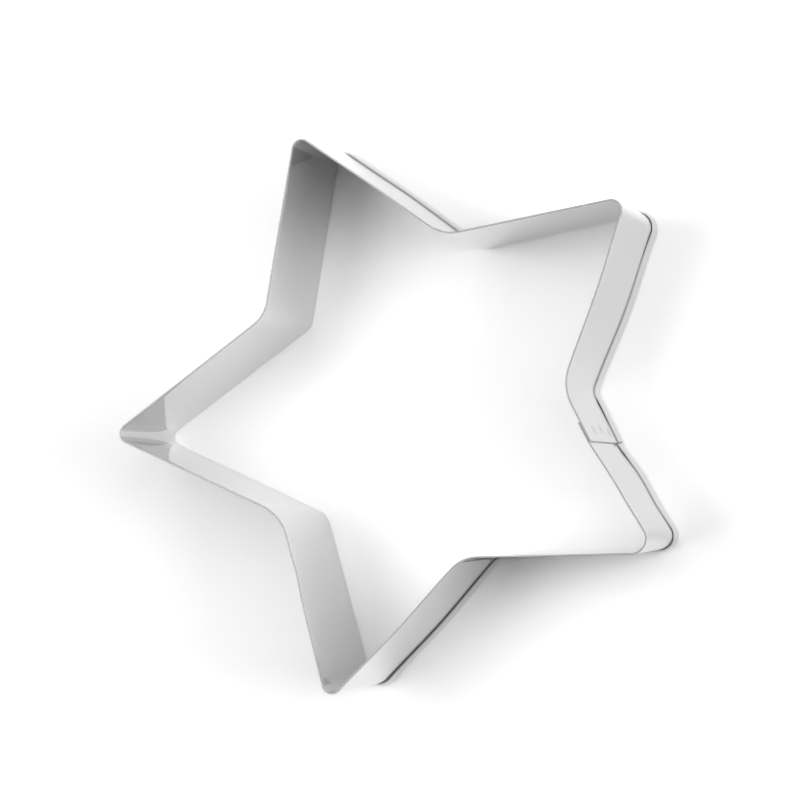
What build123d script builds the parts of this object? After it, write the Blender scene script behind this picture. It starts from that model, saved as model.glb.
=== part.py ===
from build123d import *
import os
from math import atan2, cos, degrees, radians, sin

# Star cookie cutter, bent from one strip of stainless steel with its foot edge folded over
# It lies on the folded hem, with the cutting edge up and its far tip along +Y
os.makedirs("parts", exist_ok=True)

# The star, to the sharp corners of the strip's middle line
arm_count = 5
tip_reach = 52.8
valley_reach = 29.1

# Hand bending leaves each corner a little off the regular star: far tip first, then clockwise
reach_shares = (1.02, 1.01, 0.98, 1.015, 1.01, 0.985, 0.97, 0.99, 1.015, 1.0)
turn_shares = (-0.025, 0.0, 0.015, 0.065, 0.015, 0.0, -0.06, -0.005, 0.0, -0.02)

# The strip and its hem
wall_height = 25.0
strip_thickness = 0.3
hem_height = 3.1
hem_gap = 0.25
fold_radius = 0.22

# Bends are tight at the stiff hem, and those between the arms open out towards the cutting edge
tip_foot_radius = 2.9
tip_rim_radius = 2.2
valley_foot_radius = 2.6
valley_rim_radius = 7.0

# The lap joint, on the run from the valley at the right to the lower right tip
lap_valley = 5
lap_reach = 10.5
lap_dip = 0.7
lap_length = 4.0
lap_clearance = 0.04
lap_bend_radius = 3.0
hem_setback = 0.3

# Spot welds that join the two ends, in a column up the lap
weld_radius = 0.9
weld_height = 12.0
weld_pitch = 6.0
weld_dimple = 0.05
weld_names = ("lower_spot_weld", "middle_spot_weld", "upper_spot_weld")

# Sizes that follow from the ones above
corner_count = 2 * arm_count
corner_step = 360.0 / corner_count
fold_width = 2 * strip_thickness + hem_gap
half_strip = strip_thickness / 2
lap_step = strip_thickness + lap_clearance
joint_thickness = strip_thickness + lap_step


def star_corner(number):
    reach = (valley_reach if number % 2 else tip_reach) * reach_shares[number]
    angle = radians(90.0 - corner_step * (number + turn_shares[number]))
    return Vector(reach * cos(angle), reach * sin(angle))


def outward(direction):
    # The strip is followed clockwise, so its outside is on the left
    return Vector(-direction.Y, direction.X)


def face_points(corners, offset):
    # Corners of the line that stands the given offset outside the middle line
    runs = [(after - before).normalized() for before, after in zip(corners, corners[1:])]
    moved = [corners[0] + outward(runs[0]) * offset]
    for corner, run, following in zip(corners[1:], runs, runs[1:]):
        side = outward(run) + outward(following)
        moved.append(corner + side * (offset / (1 + run.dot(following))))
    moved.append(corners[-1] + outward(runs[-1]) * offset)
    return moved


def face_radii(corners, bends, offset):
    # A bend round a tip grows with the offset, and one round a valley shrinks
    radii = []
    for before, corner, after, bend in zip(corners, corners[1:], corners[2:], bends):
        turns_left = (corner - before).cross(after - corner).Z > 0
        radii.append(bend - offset if turns_left else bend + offset)
    return radii


def band(corners, bends, inside, outside):
    # Plan of a layer of the strip between two offsets from its middle line
    near = FilletPolyline(*face_points(corners, inside), radius=face_radii(corners, bends, inside))
    far = FilletPolyline(*face_points(corners, outside), radius=face_radii(corners, bends, outside))
    Line(near @ 0, far @ 0)
    Line(near @ 1, far @ 1)


# Corners in the order of the strip, from the tip after the lap round to the valley before it
order = [(lap_valley + 1 + step) % corner_count for step in range(corner_count)]
foot_bends = [valley_foot_radius if number % 2 else tip_foot_radius for number in order]
rim_bends = [valley_rim_radius if number % 2 else tip_rim_radius for number in order]
star = [star_corner(number) for number in order]

# The star's outlines round the hem and round the cutting edge are centred on the origin
ring = [star[-1], *star]
with BuildLine() as outlines:
    for bends, offset in ((foot_bends, fold_width - half_strip), (rim_bends, half_strip)):
        FilletPolyline(*face_points(ring, offset), radius=face_radii(ring, bends, offset))
middle = outlines.line.bounding_box().center()
star = [corner - Vector(middle.X, middle.Y) for corner in star]

# The outer end runs straight from the valley, and the inner end lies against its inside
run = (star[0] - star[-1]).normalized()
outer_end = star[-1] + run * lap_reach - outward(run) * lap_dip
lap_run = (outer_end - star[-1]).normalized()
inner_bend = outer_end - outward(lap_run) * lap_step
inner_end = inner_bend - lap_run * lap_length
hem_start = inner_bend + (star[0] - inner_bend).normalized() * hem_setback

whole_strip = [inner_end, inner_bend, *star, outer_end]
hemmed_strip = [hem_start, *star, outer_end]
whole_foot_bends = [lap_bend_radius, *foot_bends]
whole_rim_bends = [lap_bend_radius, *rim_bends]

# Spot welds stand square to the lap, half way along it
lap_middle = inner_end + lap_run * (lap_length / 2) - outward(lap_run) * half_strip
weld_planes = []
for place in range(len(weld_names)):
    height = weld_height + weld_pitch * (place - (len(weld_names) - 1) / 2)
    foot = Vector(lap_middle.X, lap_middle.Y, height)
    weld_planes.append(Plane(origin=foot, x_dir=lap_run, z_dir=outward(lap_run)))

# One strip: wall, flattened fold and the flap that it turns up outside
with BuildPart() as cutter_strip:
    with BuildSketch():
        with BuildLine():
            band(hemmed_strip, foot_bends, -half_strip, fold_width - half_strip)
        make_face()
    extrude(amount=strip_thickness)
    with BuildSketch(Plane.XY.offset(strip_thickness)):
        with BuildLine():
            band(whole_strip, whole_foot_bends, -half_strip, half_strip)
        make_face()
        with BuildLine():
            band(hemmed_strip, foot_bends, half_strip + hem_gap, fold_width - half_strip)
        make_face()
    extrude(amount=hem_height - strip_thickness)
    with BuildSketch(Plane.XY.offset(hem_height)):
        with BuildLine():
            band(whole_strip, whole_foot_bends, -half_strip, half_strip)
        make_face()
    with BuildSketch(Plane.XY.offset(wall_height)):
        with BuildLine():
            band(whole_strip, whole_rim_bends, -half_strip, half_strip)
        make_face()
    loft(ruled=True)
    foot_edges = cutter_strip.faces().sort_by(Axis.Z)[0].outer_wire().edges()
    fillet([edge for edge in foot_edges if edge.length > fold_width + half_strip], radius=fold_radius)
    for weld_plane in weld_planes:
        with BuildSketch(weld_plane):
            Circle(weld_radius)
        extrude(amount=joint_thickness, mode=Mode.SUBTRACT)

cutter_strip.part.label = "cutter_strip"
export_step(cutter_strip.part, "parts/cutter_strip.step")

# Each weld is a nugget through both ends, with a shallow dimple left by the electrode on each face
for weld_name, weld_plane in zip(weld_names, weld_planes):
    section = Plane(origin=weld_plane.origin, x_dir=weld_plane.x_dir, z_dir=-weld_plane.y_dir)
    with BuildPart() as spot_weld:
        with BuildSketch(section):
            with BuildLine():
                inner_face = ThreePointArc((-weld_radius, 0), (0, weld_dimple), (weld_radius, 0))
                outer_face = ThreePointArc(
                    (-weld_radius, joint_thickness),
                    (0, joint_thickness - weld_dimple),
                    (weld_radius, joint_thickness),
                )
                Line(inner_face @ 0, outer_face @ 0)
                Line(inner_face @ 1, outer_face @ 1)
            make_face()
            split(bisect_by=Plane.YZ, keep=Keep.TOP)
        revolve(axis=Axis(weld_plane.origin, weld_plane.z_dir))
    spot_weld.part.label = weld_name
    export_step(spot_weld.part, f"parts/{weld_name}.step")

print("strip bends:", len(whole_foot_bends), "star middle moved by", middle)
print("lap turns in by", degrees(atan2(lap_dip, lap_reach)), "degrees")
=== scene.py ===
from math import atan2, cos, pi, radians, sin, tan

import bpy
import numpy as np
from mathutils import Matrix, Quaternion, Vector, noise


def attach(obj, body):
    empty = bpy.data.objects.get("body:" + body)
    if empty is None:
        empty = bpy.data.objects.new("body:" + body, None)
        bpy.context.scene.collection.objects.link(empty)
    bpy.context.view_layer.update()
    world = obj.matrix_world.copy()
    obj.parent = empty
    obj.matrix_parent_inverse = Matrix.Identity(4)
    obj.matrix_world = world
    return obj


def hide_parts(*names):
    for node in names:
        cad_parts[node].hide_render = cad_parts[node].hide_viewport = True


# Star cookie cutter: one strip of stainless steel, folded over at the foot, lapped and spot welded
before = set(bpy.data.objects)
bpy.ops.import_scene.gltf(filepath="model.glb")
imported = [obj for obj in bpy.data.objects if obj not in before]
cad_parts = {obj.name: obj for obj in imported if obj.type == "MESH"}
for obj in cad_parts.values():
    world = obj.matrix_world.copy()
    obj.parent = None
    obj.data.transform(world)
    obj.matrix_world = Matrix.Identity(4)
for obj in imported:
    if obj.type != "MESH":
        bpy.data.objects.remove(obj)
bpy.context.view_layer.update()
mm = 0.001

# Shape of the strip, in millimetres
strip = {
    "tipReach": 52.8,  # the regular star before hand bending, out to the sharp corners
    "valleyReach": 29.1,
    "middle": (0.63, -4.78),
    "wallHeight": 25.0,
    "thickness": 0.3,
    "hemHeight": 3.05,
    "foldGap": 0.2,  # space left inside the fold
    "edgeRounding": 0.05,  # corners of the sheared edge are rolled over
    "bendSteps": 14,
    "foldSteps": 12,
    "flapRows": 8,
    "runStep": 1.3,  # distance between columns along a straight run
    "rowStep": 0.9,  # distance between rows up the wall
    "fineRows": (20.5, 3.6),  # between these heights, where the welds are, the rows lie twice as close
    "sharpAngle": 35.0,
    "hemWave": 0.05,  # how unevenly the flap was trimmed
    "hemWaveLength": 9.0,
    "hemWaveSeed": 5.0,
    "waveHeight": 0.035,  # how far hand pressure leaves the sheet off flat
    "waveLength": 17.0,
    "rippleShare": 0.35,  # smaller waves on the slow ones
    "rippleCloseness": 2.3,
    "rippleSeed": (7.0, 3.0, 1.0),
}

# Corners in the order of the strip, named by their place with the far tip up
# name: star corner number, moved out, moved round, edge leans out, edge leans round, foot bend, rim bend
corners = {
    "lowerRightTip": (6, -1.62, -1.93, 1.17, 0.49, 2.2, 2.6),
    "lowerValley": (7, -0.29, -0.09, 0.27, 0.04, 2.8, 6.4),
    "lowerLeftTip": (8, 0.78, 0.0, 0.07, 0.79, 2.9, 1.7),
    "leftValley": (9, -0.01, -0.36, 0.01, -0.37, 3.9, 8.3),
    "farTip": (0, 1.05, -0.84, 0.25, -0.15, 1.8, 1.7),
    "farValley": (1, 0.05, 0.0, 0.01, 0.14, 2.4, 6.2),
    "rightFarTip": (2, -1.06, 0.49, -0.62, -0.1, 2.2, 1.7),
    "rightValley": (3, 0.42, 1.21, 0.06, -0.2, 2.2, 7.0),
    "rightNearTip": (4, 0.53, 0.5, -0.58, -0.2, 2.6, 1.8),
    "lapValley": (5, -0.43, 0.0, 0.35, 0.23, 2.1, 7.9),
}

# The lap joint on the last run, in millimetres from the last valley
lap = {
    "footReach": 10.1,  # the outer end was sheared a little out of square
    "rimReach": 10.4,
    "footDip": 0.7,
    "rimDip": 0.46,
    "length": 3.7,
    "clearance": 0.04,
    "bend": 3.0,
    "hemSetback": 0.02,
    "columnStep": 0.28,
    "fineShare": 1.3,  # columns lie close over this many lap lengths
    "startShare": 0.2,  # and over this share of the run after the lap
    "startColumns": 12,
    "outerFrom": 11.2,  # corner number along the strip where the outer end begins
}

# How far the hem's flap stands off the wall at its top, by corner number along the strip
# 0 is the inner end, 1 the bend where it leaves the lap, 2 to 11 the corners above, 12 the outer end
hemStops = (
    (0.0, 0.05), (1.0, 0.05), (1.13, 0.09), (1.26, 0.02), (1.9, 0.02), (2.0, 0.07), (2.2, 0.03),
    (3.0, 0.05), (3.2, 0.08), (4.0, 0.08), (4.25, 0.03), (5.0, 0.03), (8.5, 0.02), (9.0, 0.02),
    (9.8, 0.02), (10.0, 0.08), (10.2, 0.02), (10.9, 0.02), (11.02, 0.02), (11.1, 0.1),
    (11.5, 0.06), (11.65, 0.03), (12.0, 0.02),
)

# Where the strip bows between its corners
# corner number along the strip, half width, out at the foot, out at the rim
handBows = (
    (1.4, 0.4, 0.4, 0.15),
    (3.5, 0.5, 0.36, 0.33),
    (4.74, 0.22, 0.0, -0.2),
    (8.5, 0.48, 0.24, 0.14),
    (10.5, 0.5, 0.47, 0.32),
)

# Spot welds: piece, height up the wall, distance along the lap
welds = {
    "lower_spot_weld": (6.0, 8.2),
    "middle_spot_weld": (12.0, 7.8),
    "upper_spot_weld": (18.0, 8.1),
}
weldForm = {
    "radius": 0.9,
    "standProud": 0.012,
    "sinkRadius": 1.5,  # the electrodes leave a dimple wider than the weld
    "sinkDepth": 0.06,
    "rings": 9,
    "segments": 40,
    "unevenness": 0.05,  # of its outline, as a share of the radius
    "sharpAngle": 50.0,
}
# Finishes of the strip, in the order of its materials
rolledFinish, shearedFinish, cuttingFinish = 0, 1, 2


def outwardOf(direction):
    return np.array((-direction[1], direction[0]))  # the strip is followed clockwise


def unit(vector):
    return vector / np.linalg.norm(vector)


def cornerPoint(row, level):
    number, out, around, leanOut, leanRound = row[:5]
    reach = strip["valleyReach"] if number % 2 else strip["tipReach"]
    angle = radians(90.0 - 36.0 * number)
    away = np.array((cos(angle), sin(angle)))
    clockwise = np.array((sin(angle), -cos(angle)))
    place = np.array(strip["middle"]) + away * (reach + out) + clockwise * around
    return place + (away * leanOut + clockwise * leanRound) * level


def lapPoint(level, reach, dip=0.0):
    # Point on the outer end's middle line, measured from the last valley
    valley = cornerPoint(corners["lapValley"], level)
    along = unit(cornerPoint(corners["lowerRightTip"], level) - valley)
    full = lap["rimReach"] if level else lap["footReach"]
    fullDip = lap["rimDip"] if level else lap["footDip"]
    end = valley + along * full - outwardOf(along) * fullDip
    return valley + unit(end - valley) * reach - outwardOf(unit(end - valley)) * dip


def levelPath(level):
    # Corners and bend radii of the strip's middle line at the foot (level 0) or the rim (level 1)
    full = lap["rimReach"] if level else lap["footReach"]
    step = strip["thickness"] + lap["clearance"]
    points = [lapPoint(level, full - lap["length"], step), lapPoint(level, full, step)]
    points += [cornerPoint(row, level) for row in corners.values()]
    points.append(lapPoint(level, full))
    bends = [lap["bend"]] + [row[5 + level] for row in corners.values()]
    return points, bends


def runShares(points):
    # Where the columns stand on each run, as shares of its length
    shares = []
    for number, (start, end) in enumerate(zip(points, points[1:])):
        length = np.linalg.norm(end - start)
        if number == 0:
            steps = np.linspace(0.0, 1.0, round(length / lap["columnStep"]) + 1)
        elif number == 1:  # the hem starts a little past the lap
            startShare = lap["startShare"]
            near = np.linspace(lap["hemSetback"] / length, startShare, lap["startColumns"])
            count = round((1.0 - startShare) * length / strip["runStep"])
            steps = np.concatenate(([0.0], near, np.linspace(startShare, 1.0, count + 1)[1:]))
        elif number == len(points) - 2:
            fine = lap["length"] * lap["fineShare"]
            fineStart = 1.0 - fine / length
            before = np.linspace(0.0, fineStart, round((length - lap["length"]) / strip["runStep"] * 2))
            over = np.linspace(fineStart, 1.0, round(fine / lap["columnStep"]) + 1)
            steps = np.concatenate((before, over[1:]))
        else:
            steps = np.linspace(0.0, 1.0, round(length / strip["runStep"]) + 1)
        shares.append(steps)
    return shares


def followPath(points, bends, shares):
    # Points, outward normals and corner numbers of the columns at one level
    directions = [unit(end - start) for start, end in zip(points, points[1:])]
    turns = [atan2(a[0] * b[1] - a[1] * b[0], a @ b) for a, b in zip(directions, directions[1:])]
    setbacks = [0.0] + [bend * tan(abs(turn) / 2) for bend, turn in zip(bends, turns)] + [0.0]
    places, normals, numbers = [], [], []
    for number, direction in enumerate(directions):
        start = points[number] + direction * setbacks[number]
        end = points[number + 1] - direction * setbacks[number + 1]
        for share in shares[number]:
            places.append(start + (end - start) * share)
            normals.append(outwardOf(direction))
            numbers.append(number + share)
        if number == len(turns):
            break
        side = outwardOf(direction)
        turn = turns[number]
        bend = bends[number] if turn > 0 else -bends[number]
        centre = end + side * bend
        for step in range(1, strip["bendSteps"]):
            angle = turn * step / strip["bendSteps"]
            straight, turned = cos(angle), sin(angle)
            normal = np.array((side[0] * straight - side[1] * turned, side[0] * turned + side[1] * straight))
            places.append(centre - normal * bend)
            normals.append(normal)
            numbers.append(number + 1.0)
    return np.array(places), np.array(normals), np.array(numbers)


def sheetSection(gap, hemTop):
    # Middle line of the sheet from the rim down the wall, round the fold and up the flap,
    # with its normals towards the star's inside: columns are out, up, normal out, normal up
    thickness = strip["thickness"]
    foldBend = (strip["foldGap"] + thickness) / 2
    foldTop = foldBend + thickness / 2
    section = [(0.0, up, -1.0, 0.0) for up in wallRows()]
    for step in range(1, strip["foldSteps"]):
        angle = pi + pi * step / strip["foldSteps"]
        out, up = foldBend * (1 + cos(angle)), foldTop + foldBend * sin(angle)
        section.append((out, up, cos(angle), sin(angle)))
    flapTop = hemTop - strip["edgeRounding"]
    lean = (thickness + gap - 2 * foldBend) / (flapTop - foldTop)
    for share in np.linspace(0.0, 1.0, strip["flapRows"]):
        rise = share * (flapTop - foldTop)
        ease = share * share * (3 - 2 * share)
        out = 2 * foldBend + lean * (flapTop - foldTop) * ease
        section.append((out, foldTop + rise, 1.0, -lean))
    return np.array(section)


def wallRows():
    # Heights down the wall, closer together where the spot welds are
    top = strip["wallHeight"] - strip["edgeRounding"]
    bottom = strip["thickness"] + strip["foldGap"] / 2
    fineTop, fineBottom = strip["fineRows"]
    rows = []
    for high, low, step in ((top, fineTop, 1.0), (fineTop, fineBottom, 0.5), (fineBottom, bottom, 1.0)):
        count = round((high - low) / (strip["rowStep"] * step))
        rows += list(np.linspace(high, low, count + 1))[:-1]
    return rows + [bottom]


wallRowCount = len(wallRows())


def sheetWave(place):
    # Slow unevenness of hand-bent sheet, by place, so that both layers of the lap share it
    spot = Vector(place) / strip["waveLength"]
    ripple = noise.noise(spot * strip["rippleCloseness"] + Vector(strip["rippleSeed"]))
    return strip["waveHeight"] * (noise.noise(spot) + strip["rippleShare"] * ripple)


def weldCentre(height, reach, depth=0.0):
    # Point on the outer end's outer face, or the given depth behind it
    share = height / strip["wallHeight"]
    foot = lapPoint(0, reach, depth - strip["thickness"] / 2)
    rim = lapPoint(1, reach, depth - strip["thickness"] / 2)
    flat = foot + (rim - foot) * share
    return np.array((flat[0], flat[1], height))


def sinkAt(distance):
    # Depth of an electrode's dimple at a distance from its middle
    apart = min(1.0, distance / weldForm["sinkRadius"])
    return weldForm["sinkDepth"] * (1 - apart * apart) ** 2


def weldSink(place, depth):
    # How far the sheet is drawn in at a point on a face of the lap
    centres = [weldCentre(height, reach, depth) for height, reach in welds.values()]
    return max(sinkAt(np.linalg.norm(place - centre)) for centre in centres)


def bowOut(number, level):
    # How far the strip bows out of its straight runs at a corner number along it
    bow = 0.0
    for middle, halfWidth, *outs in handBows:
        apart = abs(number - middle) / halfWidth
        if apart < 1.0:
            bow += outs[level] * (0.5 + 0.5 * cos(pi * apart))
    return bow


def edgeAcross(first, last, top):
    # Points over a sheared edge, from one face of the sheet to the other
    rounding = strip["edgeRounding"]
    toward = rounding if last > first else -rounding
    quarter = [radians(angle) for angle in (30.0, 60.0, 90.0)]
    rise = [(first + toward * (1 - cos(angle)), top - rounding * (1 - sin(angle))) for angle in quarter]
    fall = [(last - toward * (1 - cos(angle)), top - rounding * (1 - sin(angle))) for angle in quarter[::-1]]
    return rise + fall


def columnFaces(gap, hemTop, hemmed):
    # A column's points out and up, with the length along the sheet
    # in the order inner face, flap edge, outer face, rim edge
    half = strip["thickness"] / 2
    section = sheetSection(gap, hemTop)
    if not hemmed:
        section = section[:wallRowCount]
    developed = np.concatenate(([0.0], np.cumsum(np.hypot(*np.diff(section[:, :2], axis=0).T))))
    inner = [(out + half * a, up + half * b, length) for (out, up, a, b), length in zip(section, developed)]
    outer = [(out - half * a, up - half * b, length) for (out, up, a, b), length in zip(section, developed)]
    flapEdge = []
    if hemmed:
        flapEdge = [(*point, developed[-1]) for point in edgeAcross(inner[-1][0], outer[-1][0], hemTop)]
    rimEdge = [(*point, 0.0) for point in edgeAcross(outer[0][0], inner[0][0], strip["wallHeight"])]
    return inner, flapEdge, outer, rimEdge


def buildStrip():
    footPoints, footBends = levelPath(0)
    rimPoints, rimBends = levelPath(1)
    shares = runShares(footPoints)
    foot, footNormals, numbers = followPath(footPoints, footBends, shares)
    rim, rimNormals, _ = followPath(rimPoints, rimBends, shares)
    foot += footNormals * np.array([[bowOut(number, 0)] for number in numbers])
    rim += rimNormals * np.array([[bowOut(number, 1)] for number in numbers])
    travel = np.concatenate(([0.0], np.cumsum(np.linalg.norm(np.diff(foot, axis=0), axis=1))))
    gapStops = np.array(hemStops)
    hemStart = int(np.argmax(numbers > 1.0))
    lastColumn = len(foot) - 1
    joint = 2 * strip["thickness"] + lap["clearance"]
    vertices, grain, columns = [], [], []
    for column, number in enumerate(numbers):
        gap = float(np.interp(number, gapStops[:, 0], gapStops[:, 1]))
        trim = noise.noise(Vector((travel[column] / strip["hemWaveLength"], 0.0, strip["hemWaveSeed"])))
        hemTop = strip["hemHeight"] + strip["hemWave"] * trim
        groups = []
        faceNames = ("inner", "flapEdge", "outer", "rimEdge")
        for name, points in zip(faceNames, columnFaces(gap, hemTop, column >= hemStart)):
            group = []
            for order, (out, up, length) in enumerate(points):
                share = up / strip["wallHeight"]
                flat = foot[column] + (rim[column] - foot[column]) * share
                normal = unit(footNormals[column] + (rimNormals[column] - footNormals[column]) * share)
                wave = sheetWave((flat[0], flat[1], up))
                place = np.array((*(flat + normal * out), up))
                if name == "inner" and number <= 1.0:
                    out += weldSink(place, joint)
                if name == "outer" and number > lap["outerFrom"] and order < wallRowCount:
                    out -= weldSink(place, 0.0)
                point = (flat + normal * (out + wave)) * mm
                group.append(len(vertices))
                vertices.append((point[0], point[1], up * mm))
                grain.append((travel[column], length))
            groups.append(group)
        columns.append(groups)

    def ringOf(column, hemmed):
        inner, flapEdge, outer, rimEdge = columns[column]
        if not hemmed:
            inner, flapEdge, outer = inner[:wallRowCount], [], outer[:wallRowCount]
        finish = [rolledFinish] * (len(inner) - 1) + [shearedFinish] * (len(flapEdge) + 1)
        finish += [rolledFinish] * (len(outer) - 1) + [cuttingFinish] * (len(rimEdge) + 1)
        return inner + flapEdge + outer[::-1] + rimEdge, finish

    faces, finishes = [], []
    for column in range(lastColumn):
        near, finish = ringOf(column, column >= hemStart)
        far, _ = ringOf(column + 1, column >= hemStart)
        for place in range(len(near)):
            following = (place + 1) % len(near)
            faces.append((near[following], far[following], far[place], near[place]))
            finishes.append(finish[place])
    # Sheared ends of the strip, and the end of the hem where it starts
    for column, firstRow in ((0, 0), (hemStart, wallRowCount - 1), (lastColumn, 0)):
        inner, flapEdge, outer, rimEdge = columns[column]
        rows = range(firstRow, len(inner) - 1)
        ends = [(inner[row], inner[row + 1], outer[row + 1], outer[row]) for row in rows]
        if firstRow == 0:
            ends.append((inner[0], outer[0], *rimEdge))
        if flapEdge:
            ends.append((outer[-1], inner[-1], *flapEdge))
        faces += ends if column == lastColumn else [end[::-1] for end in ends]
        finishes += [shearedFinish] * len(ends)
    mesh = bpy.data.meshes.new("bent_strip")
    mesh.from_pydata(vertices, [], faces)
    mesh.polygons.foreach_set("material_index", finishes)
    layer = mesh.uv_layers.new(name="alongStrip")
    loopVertices = np.zeros(len(mesh.loops), np.int32)
    mesh.loops.foreach_get("vertex_index", loopVertices)
    layer.data.foreach_set("uv", np.array(grain, np.float32)[loopVertices].ravel())
    mesh.polygons.foreach_set("use_smooth", [True] * len(mesh.polygons))
    mesh.set_sharp_from_angle(angle=radians(strip["sharpAngle"]))
    mesh.update()
    print("strip columns:", lastColumn + 1, "faces:", len(mesh.polygons))
    return finishPiece("bent_strip", mesh, "strip_steel", "cutter_strip")


def finishPiece(name, mesh, slotName, *nodes):
    piece = bpy.data.objects.new(name, mesh)
    bpy.context.collection.objects.link(piece)
    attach(piece, "root")
    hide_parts(*nodes)
    return piece


def buildWeld(node, height, reach):
    # A nugget through both layers: its two faces follow the dimples and stand a hair proud of the sheet
    thickness = 2 * strip["thickness"] + lap["clearance"]
    outer = weldCentre(height, reach)
    along = unit(weldCentre(height, reach + 0.5) - weldCentre(height, reach - 0.5))
    upward = unit(weldCentre(height + 0.5, reach) - weldCentre(height - 0.5, reach))
    outward = np.cross(along, upward)
    if outward @ np.append(outwardOf(along[:2]), 0.0) < 0:
        outward = -outward
    radius, segments, rings = weldForm["radius"], weldForm["segments"], weldForm["rings"]

    def facePoints(side):
        # Rings from the middle of one face out to its edge
        points = []
        for ring in range(rings + 1):
            share = ring / rings
            reachOut = radius * share
            lift = weldForm["standProud"] - sinkAt(reachOut)
            for segment in range(segments if ring else 1):
                angle = 2 * pi * segment / segments
                around = Vector((2 * cos(angle), 2 * sin(angle), height))
                uneven = 1 + weldForm["unevenness"] * noise.noise(around)
                offset = (along * cos(angle) + upward * sin(angle)) * reachOut * uneven
                face = outer + offset if side > 0 else outer + offset - outward * thickness
                wave = sheetWave(face - outward * (side * strip["thickness"] / 2))
                points.append(face + outward * (side * lift + wave))
        return points

    near, far = facePoints(1), facePoints(-1)
    count = len(near)
    faces = []
    for base, flip in ((0, False), (count, True)):
        for segment in range(segments):
            following = (segment + 1) % segments
            fan = [(base, base + 1 + segment, base + 1 + following)]
            for ring in range(rings - 1):
                inner, outerRing = base + 1 + ring * segments, base + 1 + (ring + 1) * segments
                fan.append((inner + segment, outerRing + segment, outerRing + following, inner + following))
            faces += fan if flip else [face[::-1] for face in fan]
    edge = 1 + (rings - 1) * segments
    for segment in range(segments):
        following = (segment + 1) % segments
        faces.append((edge + following, count + edge + following, count + edge + segment, edge + segment))
    mesh = bpy.data.meshes.new(node + "_nugget")
    mesh.from_pydata([tuple(point * mm) for point in near + far], [], faces)
    mesh.polygons.foreach_set("use_smooth", [True] * len(mesh.polygons))
    mesh.set_sharp_from_angle(angle=radians(weldForm["sharpAngle"]))
    mesh.update()
    return finishPiece(node + "_nugget", mesh, "weld_steel", node)


def hexColour(text):
    # sRGB hex to linear
    shares = [int(text[place:place + 2], 16) / 255 for place in (1, 3, 5)]
    linear = [share / 12.92 if share <= 0.04045 else ((share + 0.055) / 1.055) ** 2.4 for share in shares]
    return (*linear, 1.0)


def addNode(tree, kind, inputs=None, **settings):
    # Adds a node, sets its properties, and sets or links its inputs
    node = tree.nodes.new(kind)
    for name, value in settings.items():
        setattr(node, name, value)
    for name, value in (inputs or {}).items():
        if isinstance(value, bpy.types.NodeSocket):
            tree.links.new(value, node.inputs[name])
        else:
            node.inputs[name].default_value = value
    return node


def newMaterial(name):
    material = bpy.data.materials.new(name)
    material.use_nodes = True
    material.node_tree.nodes.clear()
    return material, material.node_tree


# Cold-rolled stainless sheet in a bright finish: a near mirror, softened along the strip by rolling grain
rolledSteel = {
    "light": "#D9D9DA",
    "dark": "#D1D1D2",
    "roughness": (0.05, 0.09),
    "grainWidth": 0.35,  # real rolling lines are 0.02 mm wide, drawn coarser so that they show
    "grainLength": 14.0,
    "smudgeSize": 9.0,
    "grainBump": 0.0004,  # millimetres
}


def makeRolledSteel():
    material, tree = newMaterial("cold_rolled_stainless")
    place = addNode(tree, "ShaderNodeUVMap", uv_map="alongStrip")
    stretch = addNode(tree, "ShaderNodeMapping", {
        "Vector": place.outputs["UV"],
        "Scale": (1 / rolledSteel["grainLength"], 1 / rolledSteel["grainWidth"], 1.0),
    })
    lines = addNode(tree, "ShaderNodeTexNoise", {
        "Vector": stretch.outputs["Vector"],
        "Scale": 1.0,
        "Detail": 3.0,
    })
    smudge = addNode(tree, "ShaderNodeTexNoise", {
        "Vector": place.outputs["UV"],
        "Scale": 1 / rolledSteel["smudgeSize"],
        "Detail": 2.0,
    })
    mixTone = addNode(tree, "ShaderNodeMixRGB", {
        "Fac": lines.outputs["Fac"],
        "Color1": hexColour(rolledSteel["dark"]),
        "Color2": hexColour(rolledSteel["light"]),
    })
    gloss = addNode(tree, "ShaderNodeMapRange", {
        "Value": smudge.outputs["Fac"],
        "From Min": 0.3, "From Max": 0.7,  # the noise seldom leaves this range
        "To Min": rolledSteel["roughness"][0], "To Max": rolledSteel["roughness"][1],
    })
    bump = addNode(tree, "ShaderNodeBump", {
        "Height": lines.outputs["Fac"],
        "Distance": rolledSteel["grainBump"] * mm,
    })
    steel = addNode(tree, "ShaderNodeBsdfPrincipled", {
        "Base Color": mixTone.outputs["Color"],
        "Metallic": 1.0,
        "Roughness": gloss.outputs["Result"],
        "Normal": bump.outputs["Normal"],
    })
    addNode(tree, "ShaderNodeOutputMaterial", {"Surface": steel.outputs["BSDF"]})
    return material


# The same steel where it was sheared: torn and dull, so the edges don't mirror the room as the faces do
shearedSteel = {
    "light": "#EAE9E7",
    "dark": "#DCDBD8",
    "roughness": (0.5, 0.65),
    "tearWidth": 0.5,  # real tears are 0.05 mm apart, drawn coarser so that they show
}
# The cutting edge, sheared and rubbed down, coloured much darker than the other sheared edges: painted
# shade, a dark line along the rim
shadedCuttingEdge = {
    "light": "#A5A29F",
    "dark": "#878480",
    "roughness": (0.35, 0.5),
    "tearWidth": 0.5,
}


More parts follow.
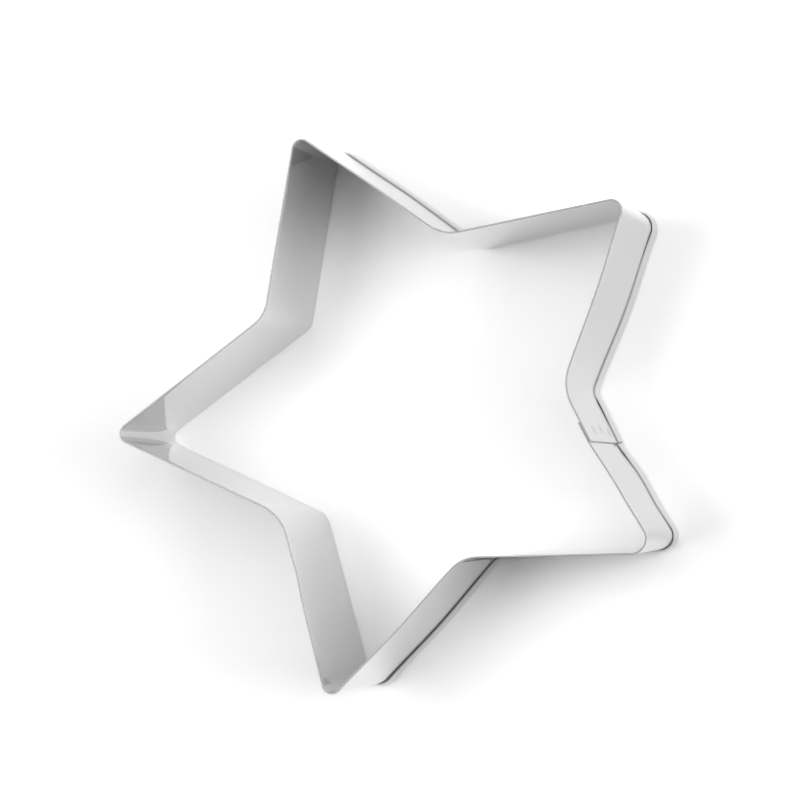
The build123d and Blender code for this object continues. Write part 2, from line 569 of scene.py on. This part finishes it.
def makeShearedSteel(name, look):
    material, tree = newMaterial(name)
    place = addNode(tree, "ShaderNodeUVMap", uv_map="alongStrip")
    tears = addNode(tree, "ShaderNodeTexNoise", {
        "Vector": place.outputs["UV"],
        "Scale": 1 / look["tearWidth"],
        "Detail": 2.0,
    })
    mixTone = addNode(tree, "ShaderNodeMixRGB", {
        "Fac": tears.outputs["Fac"],
        "Color1": hexColour(look["dark"]),
        "Color2": hexColour(look["light"]),
    })
    gloss = addNode(tree, "ShaderNodeMapRange", {
        "Value": tears.outputs["Fac"],
        "To Min": look["roughness"][0], "To Max": look["roughness"][1],
    })
    steel = addNode(tree, "ShaderNodeBsdfPrincipled", {
        "Base Color": mixTone.outputs["Color"],
        "Metallic": 1.0,
        "Roughness": gloss.outputs["Result"],
    })
    addNode(tree, "ShaderNodeOutputMaterial", {"Surface": steel.outputs["BSDF"]})
    return material


# Stainless fused by the welding electrodes: pressed, dulled by heat and faintly straw coloured
weldedSteel = {
    "light": "#D2D0CC",
    "dark": "#BEBBB5",
    "roughness": (0.14, 0.24),
    "grit": 0.25,  # millimetres
}


def makeWeldedSteel():
    material, tree = newMaterial("spot_welded_stainless")
    place = addNode(tree, "ShaderNodeTexCoord")
    grit = addNode(tree, "ShaderNodeTexNoise", {
        "Vector": place.outputs["Object"],
        "Scale": 1 / (weldedSteel["grit"] * mm),
        "Detail": 2.0,
    })
    mixTone = addNode(tree, "ShaderNodeMixRGB", {
        "Fac": grit.outputs["Fac"],
        "Color1": hexColour(weldedSteel["dark"]),
        "Color2": hexColour(weldedSteel["light"]),
    })
    gloss = addNode(tree, "ShaderNodeMapRange", {
        "Value": grit.outputs["Fac"],
        "To Min": weldedSteel["roughness"][0], "To Max": weldedSteel["roughness"][1],
    })
    steel = addNode(tree, "ShaderNodeBsdfPrincipled", {
        "Base Color": mixTone.outputs["Color"],
        "Metallic": 1.0,
        "Roughness": gloss.outputs["Result"],
    })
    addNode(tree, "ShaderNodeOutputMaterial", {"Surface": steel.outputs["BSDF"]})
    return material


bentStrip = buildStrip()
bentStrip.data.materials.append(makeRolledSteel())
bentStrip.data.materials.append(makeShearedSteel("sheared_stainless_edge", shearedSteel))
# The rim's cutting edge gets the darker colours of painted shade
bentStrip.data.materials.append(makeShearedSteel("stainless_cutting_edge_painted_shade", shadedCuttingEdge))
weldMaterial = makeWeldedSteel()
for node, (height, reach) in welds.items():
    nugget = buildWeld(node, height, reach)
    nugget.data.materials.append(weldMaterial)
print("spot welds:", len(welds))

# Matt white paper under the cutter, lit by soft lamps
# The strongest stand beyond the far tip and low on the near side
studio = {
    "paperSize": 1.6,  # metres
    "paperColour": "#F2F2F2",
    "paperGain": 1.36,  # how much whiter the camera and the steel see the paper
    "wallColour": "#FFFFFF",
    "wallStrength": 0.035,  # the walls stand far off, so little comes back from them
    "lampDistance": 0.9,  # metres
    "lampSize": 0.55,
}
# name: direction round from +X, height, both in degrees, and power in watts
softLamps = {
    "overheadLamp": (0.0, 89.9, 0.8),
    "farLamp": (90.0, 60.0, 3.15),
    "rightFarLamp": (45.0, 60.0, 0.95),
    "rightLamp": (0.0, 45.0, 0.85),
    "nearLamp": (292.5, 60.0, 1.65),
    "lowNearLamp": (270.0, 30.0, 3.5),
}


def buildPaper():
    half = studio["paperSize"] / 2
    mesh = bpy.data.meshes.new("studio_paper")
    paperCorners = [(-half, -half, 0), (half, -half, 0), (half, half, 0), (-half, half, 0)]
    mesh.from_pydata(paperCorners, [], [(0, 1, 2, 3)])
    floor = bpy.data.objects.new("studio_paper", mesh)
    bpy.context.collection.objects.link(floor)
    material, tree = newMaterial("matt_white_paper")
    path = addNode(tree, "ShaderNodeLightPath")
    seen = addNode(tree, "ShaderNodeMath", {
        0: path.outputs["Is Camera Ray"],
        1: path.outputs["Is Glossy Ray"],
    }, operation="MAXIMUM")
    gain = addNode(tree, "ShaderNodeMapRange", {
        "Value": seen.outputs["Value"],
        "To Min": 1.0, "To Max": studio["paperGain"],
    })
    colour = addNode(tree, "ShaderNodeVectorMath", {
        "Vector": hexColour(studio["paperColour"])[:3],
        "Scale": gain.outputs["Result"],
    }, operation="SCALE")
    paper = addNode(tree, "ShaderNodeBsdfDiffuse", {"Color": colour.outputs["Vector"]})
    addNode(tree, "ShaderNodeOutputMaterial", {"Surface": paper.outputs["BSDF"]})
    mesh.materials.append(material)


def buildLights():
    world = bpy.data.worlds.new("studio_walls")
    world.use_nodes = True
    tree = world.node_tree
    tree.nodes.clear()
    path = addNode(tree, "ShaderNodeLightPath")  # the camera sees white behind the cutter
    strength = addNode(tree, "ShaderNodeMapRange", {
        "Value": path.outputs["Is Camera Ray"],
        "To Min": studio["wallStrength"], "To Max": 1.0,
    })
    walls = addNode(tree, "ShaderNodeBackground", {
        "Color": hexColour(studio["wallColour"]),
        "Strength": strength.outputs["Result"],
    })
    addNode(tree, "ShaderNodeOutputWorld", {"Surface": walls.outputs["Background"]})
    bpy.context.scene.world = world
    for name, (around, lift, power) in softLamps.items():
        flat = cos(radians(lift))
        away = Vector((cos(radians(around)) * flat, sin(radians(around)) * flat, sin(radians(lift))))
        light = bpy.data.lights.new(name, "AREA")
        light.shape = "DISK"
        light.size = studio["lampSize"]
        light.energy = power
        lamp = bpy.data.objects.new(name, light)
        lamp.location = away * studio["lampDistance"]
        lamp.rotation_mode = "QUATERNION"
        lamp.rotation_quaternion = (-away).to_track_quat("-Z", "Y")
        bpy.context.collection.objects.link(lamp)


# The photograph's viewing angle: high over the near side, with the far tip to the left of the picture
cameraView = {
    "spot": (-35.9, -158.8, 509.8),  # millimetres
    "aim": (2.78, 3.01, 0.0),
    "roll": -81.56,  # degrees
    "lens": 133.17,
    "sensor": 36.0,
}


def buildCamera():
    spot, aim = Vector(cameraView["spot"]), Vector(cameraView["aim"])
    camera = bpy.data.cameras.new("photo_camera")
    camera.lens = cameraView["lens"]
    camera.sensor_width = cameraView["sensor"]
    camera.clip_start, camera.clip_end = 0.01, 10.0
    viewer = bpy.data.objects.new("photo_camera", camera)
    viewer.location = spot * mm
    viewer.rotation_mode = "QUATERNION"
    tilt = (aim - spot).to_track_quat("-Z", "Y")
    viewer.rotation_quaternion = tilt @ Quaternion((0.0, 0.0, 1.0), radians(cameraView["roll"]))
    bpy.context.collection.objects.link(viewer)
    bpy.context.scene.camera = viewer


buildPaper()
buildLights()
buildCamera()
bpy.context.scene.view_settings.view_transform = "Standard"
print("floor, lights and camera are set")
